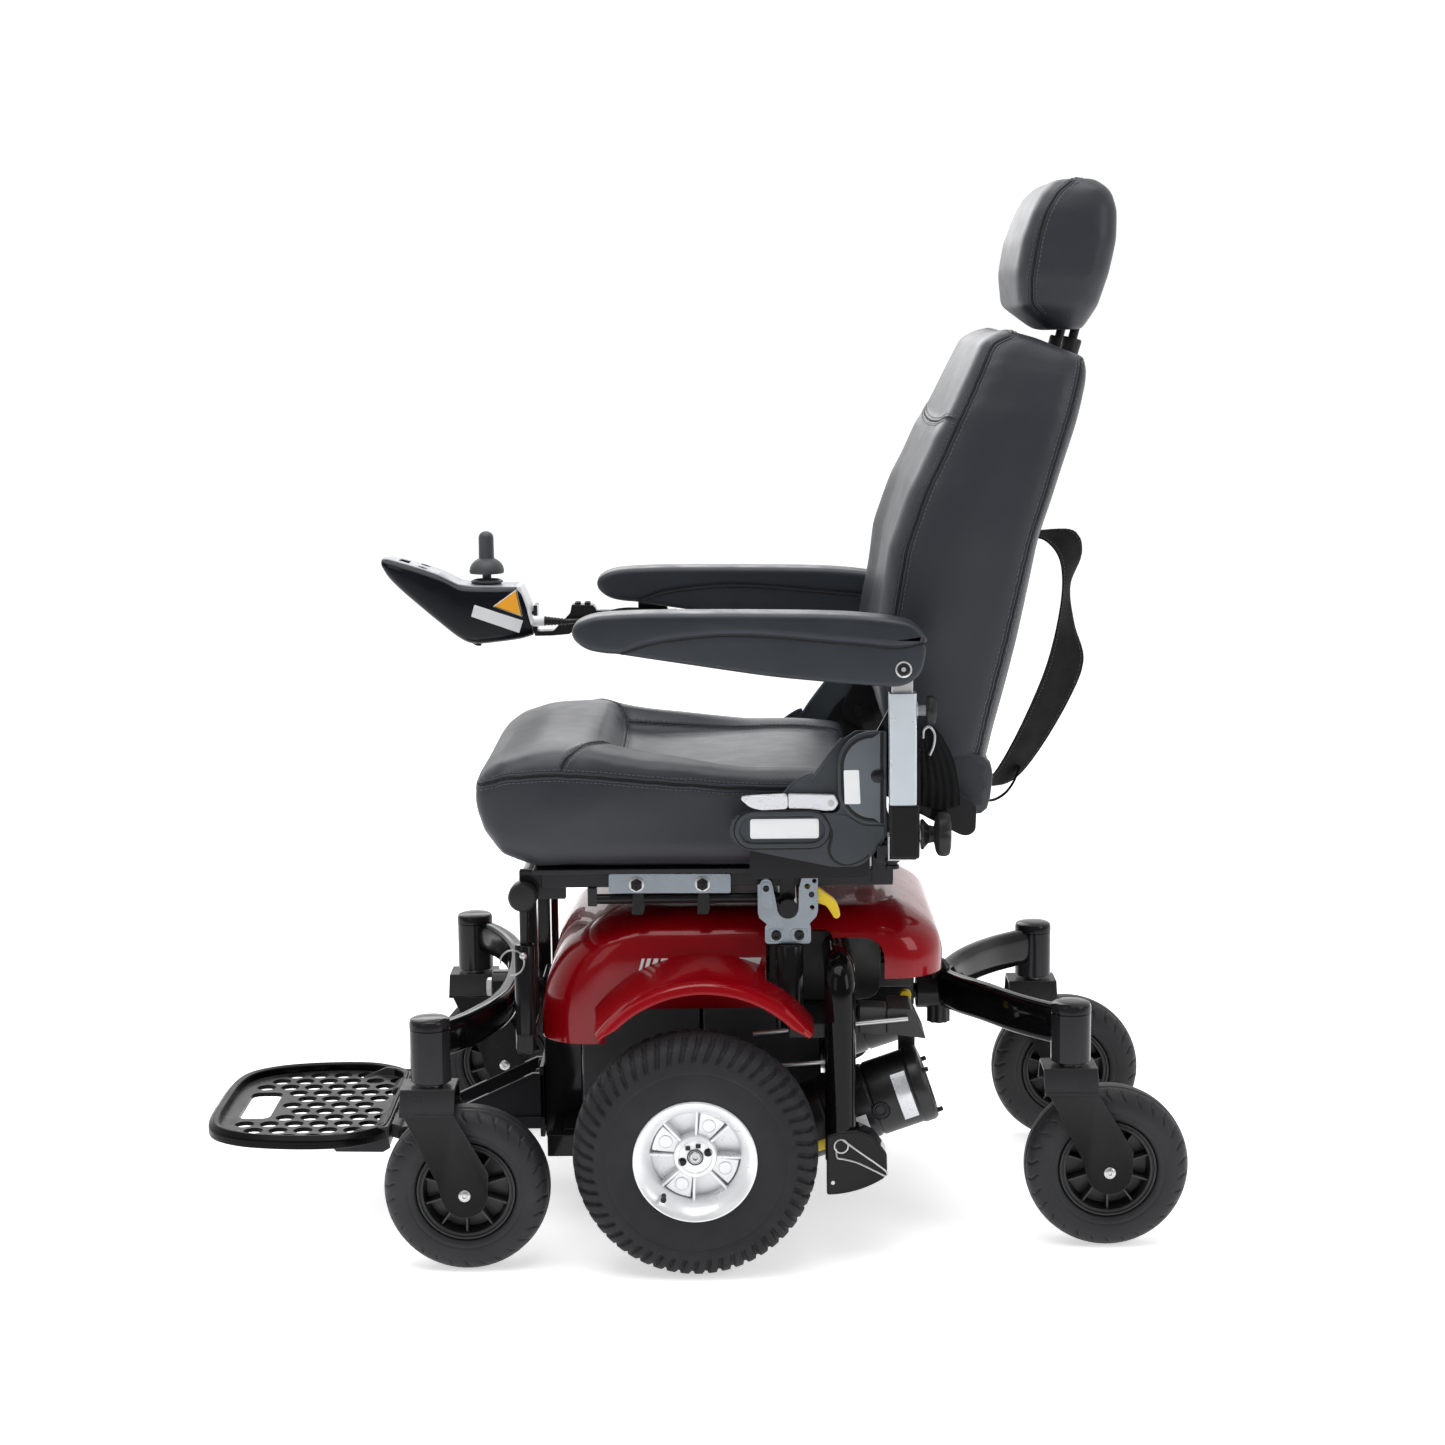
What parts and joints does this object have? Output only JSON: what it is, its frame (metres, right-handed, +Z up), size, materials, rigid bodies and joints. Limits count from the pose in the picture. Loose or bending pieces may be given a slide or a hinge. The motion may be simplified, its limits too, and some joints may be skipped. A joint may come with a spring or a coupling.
{
  "type": "power wheelchair",
  "caption": "Mid-wheel-drive power wheelchair with a padded reclining captain seat, flip-up armrests, joystick controller, rocking caster yokes and flip-up footplate.",
  "frame": {"origin": "middle of the footprint's bounding box, on the floor", "axes": "+Z up, -Y forward, +X the sitter's left"},
  "size_m": [0.616, 1.0896, 1.149],
  "materials": {
    "black_paint": "gloss black powder coat",
    "fork_steel": "satin black paint",
    "red_gloss": "candy red, clear coated",
    "vinyl": "charcoal grey grained vinyl",
    "arm_pad": "moulded charcoal foam, satin",
    "tyre": "black tread",
    "caster_tyre": "dark grey solid tyre",
    "rim_silver": "silver paint, satin",
    "hub_black": "moulded black, satin",
    "motor_black": "satin black paint",
    "battery": "moulded grey case",
    "module": "moulded black case",
    "silver_plate": "zinc plated",
    "yellow": "bright yellow",
    "moulded_grey": "dark blue grey, fine grain",
    "lever_white": "silver white paint",
    "silver_sleeve": "satin silver",
    "knob_black": "matte black",
    "housing_black": "gloss black",
    "stick_grey": "soft dark grey",
    "button_grey": "grey keys",
    "webbing": "black woven polyester",
    "cable": "black jacket",
    "zinc": "zinc plated"
  },
  "bodies": {
    "chassis": {"main_frame": "black_paint", "battery_front": "battery", "battery_rear": "battery", "control_module": "module", "shroud": "red_gloss", "left_gearmotor": "motor_black", "right_gearmotor": "motor_black", "left_seat_latch": "silver_plate", "right_seat_latch": "silver_plate", "footrest_bracket": "black_paint"},
    "left_drive_wheel": {"left_drive_tyre": "tyre", "left_drive_rim": "rim_silver"},
    "left_freewheel_lever": {"left_freewheel_lever": "yellow"},
    "left_latch_lever": {"left_latch_lever": "yellow"},
    "right_drive_wheel": {"right_drive_tyre": "tyre", "right_drive_rim": "rim_silver"},
    "right_freewheel_lever": {"right_freewheel_lever": "yellow"},
    "right_latch_lever": {"right_latch_lever": "yellow"},
    "front_yoke": {"front_yoke": "black_paint"},
    "rear_yoke": {"rear_yoke": "black_paint"},
    "front_left_fork": {"front_left_fork": "fork_steel"},
    "front_left_wheel": {"front_left_tyre": "caster_tyre", "front_left_hub": "hub_black"},
    "front_right_fork": {"front_right_fork": "fork_steel"},
    "front_right_wheel": {"front_right_tyre": "caster_tyre", "front_right_hub": "hub_black"},
    "rear_left_fork": {"rear_left_fork": "fork_steel"},
    "rear_left_wheel": {"rear_left_tyre": "caster_tyre", "rear_left_hub": "hub_black"},
    "rear_right_fork": {"rear_right_fork": "fork_steel"},
    "rear_right_wheel": {"rear_right_tyre": "caster_tyre", "rear_right_hub": "hub_black"},
    "footplate": {"footplate": "black_paint"},
    "seat": {"seat_frame": "black_paint", "seat_cushion": "vinyl", "left_side_cover": "moulded_grey", "right_side_cover": "moulded_grey"},
    "recline_lever": {"recline_lever": "lever_white"},
    "back": {"back_frame": "black_paint", "backrest": "vinyl", "lap_belt": "webbing"},
    "headrest": {"headrest": "vinyl"},
    "left_arm_bracket": {"left_arm_bracket": "silver_sleeve"},
    "left_arm_post": {"left_arm_post": "zinc"},
    "left_armrest": {"left_armrest": "arm_pad"},
    "left_clamp_knob": {"left_clamp_knob": "knob_black"},
    "left_height_knob": {"left_height_knob": "knob_black"},
    "right_arm_bracket": {"right_arm_bracket": "silver_sleeve"},
    "right_arm_post": {"right_arm_post": "zinc"},
    "right_armrest": {"right_armrest": "arm_pad", "controller_cable": "cable"},
    "right_clamp_knob": {"right_clamp_knob": "knob_black"},
    "right_height_knob": {"right_height_knob": "knob_black"},
    "controller": {"controller_housing": "housing_black", "controller_mount": "black_paint"},
    "joystick_gimbal": {"joystick_gimbal": "zinc"},
    "joystick": {"joystick": "stick_grey"},
    "power_button": {"power_button": "button_grey"},
    "horn_button": {"horn_button": "button_grey"},
    "speed_rocker": {"speed_rocker": "button_grey"}
  },
  "joints": [
    {"name": "left_drive_spin", "type": "hinge", "parent": "chassis", "child": "left_drive_wheel", "pos_m": [0.266, 0.0122, 0.13], "axis": [1, 0, 0], "continuous": true},
    {"name": "left_freewheel_turn", "type": "hinge", "parent": "chassis", "child": "left_freewheel_lever", "pos_m": [0.122, 0.2432, 0.236], "axis": [-1, 0, 0], "range_deg": [0, 60]},
    {"name": "left_latch_release", "type": "hinge", "parent": "chassis", "child": "left_latch_lever", "pos_m": [0.193, 0.1382, 0.392], "axis": [-1, 0, 0], "range_deg": [0, 25], "stiffness_Nm_per_rad": 0.3, "springref_deg": -28.65},
    {"name": "right_drive_spin", "type": "hinge", "parent": "chassis", "child": "right_drive_wheel", "pos_m": [-0.266, 0.0122, 0.13], "axis": [1, 0, 0], "continuous": true},
    {"name": "right_freewheel_turn", "type": "hinge", "parent": "chassis", "child": "right_freewheel_lever", "pos_m": [-0.122, 0.2432, 0.236], "axis": [-1, 0, 0], "range_deg": [0, 60]},
    {"name": "right_latch_release", "type": "hinge", "parent": "chassis", "child": "right_latch_lever", "pos_m": [-0.193, 0.1382, 0.392], "axis": [-1, 0, 0], "range_deg": [0, 25], "stiffness_Nm_per_rad": 0.3, "springref_deg": -28.65},
    {"name": "front_yoke_rock", "type": "hinge", "parent": "chassis", "child": "front_yoke", "pos_m": [0, -0.2038, 0.243], "axis": [0, 1, 0], "range_deg": [-4, 4]},
    {"name": "rear_yoke_rock", "type": "hinge", "parent": "chassis", "child": "rear_yoke", "pos_m": [0, 0.2852, 0.234], "axis": [0, 1, 0], "range_deg": [-4, 4]},
    {"name": "front_left_swivel", "type": "hinge", "parent": "front_yoke", "child": "front_left_fork", "pos_m": [0.249, -0.2678, 0.201], "axis": [0, 0, 1], "continuous": true},
    {"name": "front_left_spin", "type": "hinge", "parent": "front_left_fork", "child": "front_left_wheel", "pos_m": [0.249, -0.2318, 0.0886], "axis": [1, 0, 0], "continuous": true},
    {"name": "front_right_swivel", "type": "hinge", "parent": "front_yoke", "child": "front_right_fork", "pos_m": [-0.249, -0.2678, 0.201], "axis": [0, 0, 1], "continuous": true},
    {"name": "front_right_spin", "type": "hinge", "parent": "front_right_fork", "child": "front_right_wheel", "pos_m": [-0.249, -0.2318, 0.0886], "axis": [1, 0, 0], "continuous": true},
    {"name": "rear_left_swivel", "type": "hinge", "parent": "rear_yoke", "child": "rear_left_fork", "pos_m": [0.1906, 0.4172, 0.201], "axis": [0, 0, 1], "continuous": true},
    {"name": "rear_left_spin", "type": "hinge", "parent": "rear_left_fork", "child": "rear_left_wheel", "pos_m": [0.1906, 0.4562, 0.0886], "axis": [1, 0, 0], "continuous": true},
    {"name": "rear_right_swivel", "type": "hinge", "parent": "rear_yoke", "child": "rear_right_fork", "pos_m": [-0.1906, 0.4172, 0.201], "axis": [0, 0, 1], "continuous": true},
    {"name": "rear_right_spin", "type": "hinge", "parent": "rear_right_fork", "child": "rear_right_wheel", "pos_m": [-0.1906, 0.4562, 0.0886], "axis": [1, 0, 0], "continuous": true},
    {"name": "footplate_flip", "type": "hinge", "parent": "chassis", "child": "footplate", "pos_m": [0, -0.3178, 0.096], "axis": [-1, 0, 0], "range_deg": [0, 85]},
    {"name": "seat_tip", "type": "hinge", "parent": "chassis", "child": "seat", "pos_m": [0, -0.1708, 0.391], "axis": [1, 0, 0], "range_deg": [0, 40]},
    {"name": "recline_lever_lift", "type": "hinge", "parent": "seat", "child": "recline_lever", "pos_m": [0.235, 0.1582, 0.498], "axis": [-1, 0, 0], "range_deg": [0, 18], "stiffness_Nm_per_rad": 0.5, "springref_deg": -28.65},
    {"name": "back_recline", "type": "hinge", "parent": "seat", "child": "back", "pos_m": [0, 0.2062, 0.528], "axis": [-1, 0, 0], "range_deg": [-40, 30]},
    {"name": "headrest_height", "type": "slide", "parent": "back", "child": "headrest", "axis": [0, 0.2588, 0.9659], "range_m": [0, 0.06]},
    {"name": "left_arm_width", "type": "slide", "parent": "seat", "child": "left_arm_bracket", "axis": [1, 0, 0], "range_m": [0, 0.04]},
    {"name": "left_arm_height", "type": "slide", "parent": "left_arm_bracket", "child": "left_arm_post", "axis": [0, 0, 1], "range_m": [0, 0.06]},
    {"name": "left_arm_flip", "type": "hinge", "parent": "left_arm_post", "child": "left_armrest", "pos_m": [0.25, 0.2322, 0.643], "axis": [-1, 0, 0], "range_deg": [0, 95]},
    {"name": "left_clamp_knob_turn", "type": "hinge", "parent": "left_arm_bracket", "child": "left_clamp_knob", "pos_m": [0.25, 0.2505, 0.466], "axis": [0, 1, 0], "range_deg": [0, 270]},
    {"name": "left_height_knob_turn", "type": "hinge", "parent": "left_arm_bracket", "child": "left_height_knob", "pos_m": [0.25, 0.2475, 0.597], "axis": [0, 1, 0], "range_deg": [0, 270]},
    {"name": "right_arm_width", "type": "slide", "parent": "seat", "child": "right_arm_bracket", "axis": [-1, 0, 0], "range_m": [0, 0.04]},
    {"name": "right_arm_height", "type": "slide", "parent": "right_arm_bracket", "child": "right_arm_post", "axis": [0, 0, 1], "range_m": [0, 0.06]},
    {"name": "right_arm_flip", "type": "hinge", "parent": "right_arm_post", "child": "right_armrest", "pos_m": [-0.25, 0.2322, 0.643], "axis": [-1, 0, 0], "range_deg": [0, 95]},
    {"name": "right_clamp_knob_turn", "type": "hinge", "parent": "right_arm_bracket", "child": "right_clamp_knob", "pos_m": [-0.25, 0.2505, 0.466], "axis": [0, 1, 0], "range_deg": [0, 270]},
    {"name": "right_height_knob_turn", "type": "hinge", "parent": "right_arm_bracket", "child": "right_height_knob", "pos_m": [-0.25, 0.2475, 0.597], "axis": [0, 1, 0], "range_deg": [0, 270]},
    {"name": "controller_reach", "type": "slide", "parent": "right_armrest", "child": "controller", "axis": [0, -1, 0], "range_m": [0, 0.03]},
    {"name": "joystick_side", "type": "hinge", "parent": "controller", "child": "joystick_gimbal", "pos_m": [-0.26, -0.2438, 0.672], "axis": [0, 1, 0], "range_deg": [-18, 18], "stiffness_Nm_per_rad": 0.12},
    {"name": "joystick_fore_aft", "type": "hinge", "parent": "joystick_gimbal", "child": "joystick", "pos_m": [-0.26, -0.2438, 0.672], "axis": [1, 0, 0], "range_deg": [-18, 18], "stiffness_Nm_per_rad": 0.12},
    {"name": "power_press", "type": "slide", "parent": "controller", "child": "power_button", "axis": [0, -0.3451, -0.9386], "range_m": [0, 0.0015], "stiffness_N_per_m": 300, "springref_m": -0.002},
    {"name": "horn_press", "type": "slide", "parent": "controller", "child": "horn_button", "axis": [0, -0.3451, -0.9386], "range_m": [0, 0.0015], "stiffness_N_per_m": 300, "springref_m": -0.002},
    {"name": "speed_rock", "type": "hinge", "parent": "controller", "child": "speed_rocker", "pos_m": [-0.26, -0.34585, 0.70356], "axis": [0, -0.9386, 0.3451], "range_deg": [-5, 5], "stiffness_Nm_per_rad": 0.05}
  ]
}
